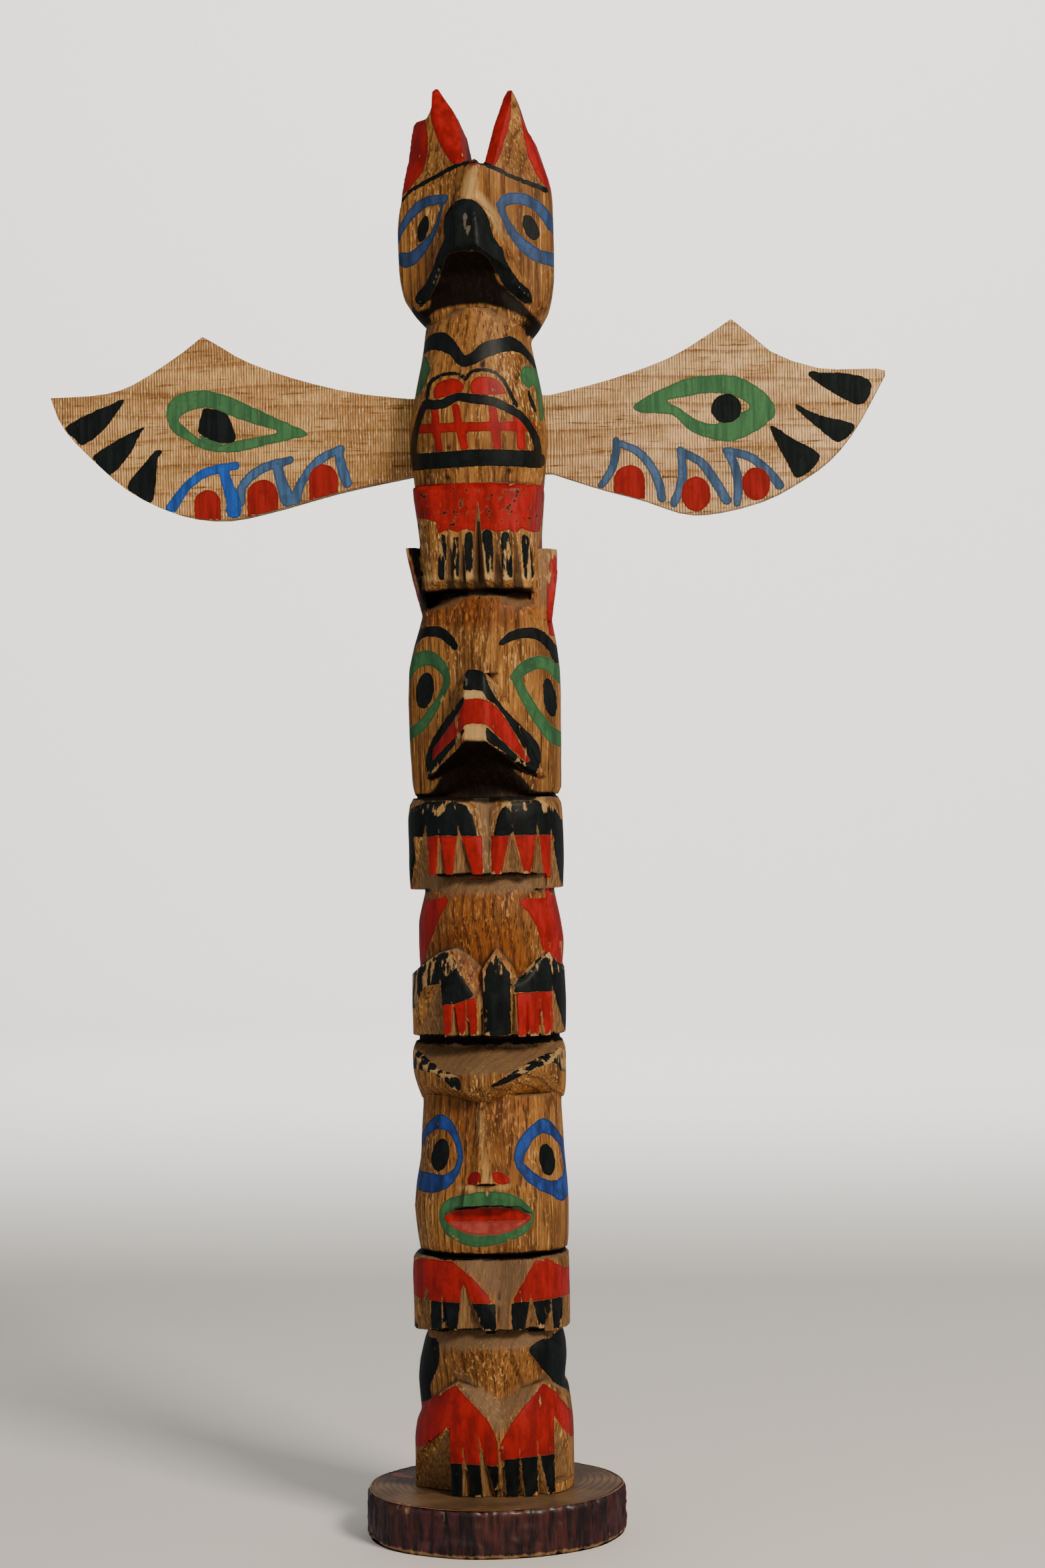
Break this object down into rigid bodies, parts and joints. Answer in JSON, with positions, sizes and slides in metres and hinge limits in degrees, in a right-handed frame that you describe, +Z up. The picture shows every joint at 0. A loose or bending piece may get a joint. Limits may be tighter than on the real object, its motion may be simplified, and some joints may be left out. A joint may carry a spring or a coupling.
{
  "type": "totem pole",
  "caption": "Carved and painted wooden totem pole with a bird on top, board wings slotted into its sides and a bark-edged log-slice base.",
  "frame": {"origin": "middle of the base's underside, on the surface that the pole stands on", "axes": "+Z up along the pole, the carved faces look along -Y, the wings reach along -X and +X"},
  "size_m": [0.3565, 0.1083, 0.61],
  "materials": {
    "pole_cedar": "varnished red cedar with worn black, red, blue and green enamel paint and grey weathered recesses",
    "wing_board": "varnished sawn cedar board with fine vertical saw marks and painted eyes, arches and feathers",
    "bark_slice": "oiled end grain on top and dark red-brown bark round the edge, with pale worn rims"
  },
  "bodies": {
    "root": {"pole": "pole_cedar", "left_wing": "wing_board", "right_wing": "wing_board", "base": "bark_slice"}
  },
  "joints": []
}
